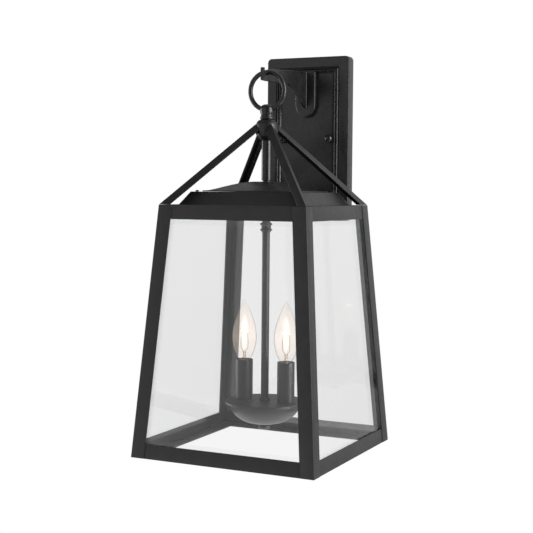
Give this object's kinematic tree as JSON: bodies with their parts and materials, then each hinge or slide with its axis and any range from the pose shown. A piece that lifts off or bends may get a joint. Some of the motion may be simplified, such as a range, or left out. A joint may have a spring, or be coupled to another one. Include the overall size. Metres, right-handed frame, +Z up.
{
  "type": "outdoor wall lantern",
  "caption": "Tapered four-sided glass lantern with candle lamps, hung by a ring and pyramid of bars from a hooked arm on a rectangular wall plate",
  "frame": {"origin": "centre of the mounting strap's back face, on the wall, level with the two ball nuts", "axes": "+Z up, +Y into the wall along the wall face's outward normal, +X to the right for someone facing the lantern"},
  "size_m": [0.25, 0.27, 0.519],
  "materials": {
    "black_metal": "satin black powder coat",
    "zinc_steel": "zinc plated",
    "green_screw": "green dyed zinc",
    "foam": "closed-cell foam",
    "brass": "bright",
    "phenolic": "moulded",
    "pane_glass": "clear, bevelled edges",
    "bulb_glass": "clear",
    "bulb_stem": "clear stem with filament wires"
  },
  "bodies": {
    "bracket": {"wall_plate": "black_metal", "wall_gasket": "foam", "mounting_strap": "zinc_steel", "mounting_stud_left": "zinc_steel", "mounting_stud_right": "zinc_steel", "stud_lock_nut_left": "zinc_steel", "stud_lock_nut_right": "zinc_steel", "ball_nut_left": "black_metal", "ball_nut_right": "black_metal", "earth_screw": "green_screw", "hook_arm": "black_metal", "arm_screw_lower": "zinc_steel", "arm_screw_upper": "zinc_steel"},
    "ring": {"hanging_ring": "black_metal"},
    "lantern": {"loop_knob": "black_metal", "hub_ball": "black_metal", "stem_tube": "black_metal", "hip_bar_front_right": "black_metal", "hip_bar_back_right": "black_metal", "hip_bar_back_left": "black_metal", "hip_bar_front_left": "black_metal", "corner_post_front_right": "black_metal", "corner_post_back_right": "black_metal", "corner_post_back_left": "black_metal", "corner_post_front_left": "black_metal", "top_rail_front": "black_metal", "top_rail_right": "black_metal", "top_rail_back": "black_metal", "top_rail_left": "black_metal", "bottom_rail_front": "black_metal", "bottom_rail_right": "black_metal", "bottom_rail_back": "black_metal", "bottom_rail_left": "black_metal", "glass_front": "pane_glass", "glass_right": "pane_glass", "glass_back": "pane_glass", "glass_left": "pane_glass", "roof_skirt": "black_metal", "roof_cap": "black_metal", "roof_screw_front_right": "black_metal", "roof_screw_back_right": "black_metal", "roof_screw_back_left": "black_metal", "roof_screw_front_left": "black_metal", "center_rod": "black_metal", "rod_coupling": "black_metal", "roof_lock_nut": "zinc_steel", "rod_foot_nut": "black_metal", "pan_top": "black_metal", "pan_bowl": "black_metal", "finial_nut": "black_metal", "candle_sleeve_1": "black_metal", "candle_sleeve_2": "black_metal", "lampholder_1": "phenolic", "lampholder_2": "phenolic"},
    "bulb_1": {"bulb_glass_1": "bulb_glass", "bulb_stem_1": "bulb_stem", "bulb_base_1": "brass"},
    "bulb_2": {"bulb_glass_2": "bulb_glass", "bulb_stem_2": "bulb_stem", "bulb_base_2": "brass"}
  },
  "joints": [
    {"name": "ring_swing", "type": "hinge", "parent": "bracket", "child": "ring", "pos_m": [0, -0.145, 0.0802], "axis": [1, 0, 0], "range_deg": [-25, 2]},
    {"name": "lantern_sway", "type": "hinge", "parent": "ring", "child": "lantern", "pos_m": [0, -0.145, 0.0562], "axis": [0, 1, 0], "range_deg": [-12, 12]},
    {"name": "bulb_1_turn", "type": "hinge", "parent": "lantern", "child": "bulb_1", "pos_m": [-0.03, -0.145, -0.3], "axis": [0, 0, 1], "range_deg": [0, 1080]},
    {"name": "bulb_2_turn", "type": "hinge", "parent": "lantern", "child": "bulb_2", "pos_m": [0.03, -0.145, -0.3], "axis": [0, 0, 1], "range_deg": [0, 1080]}
  ]
}
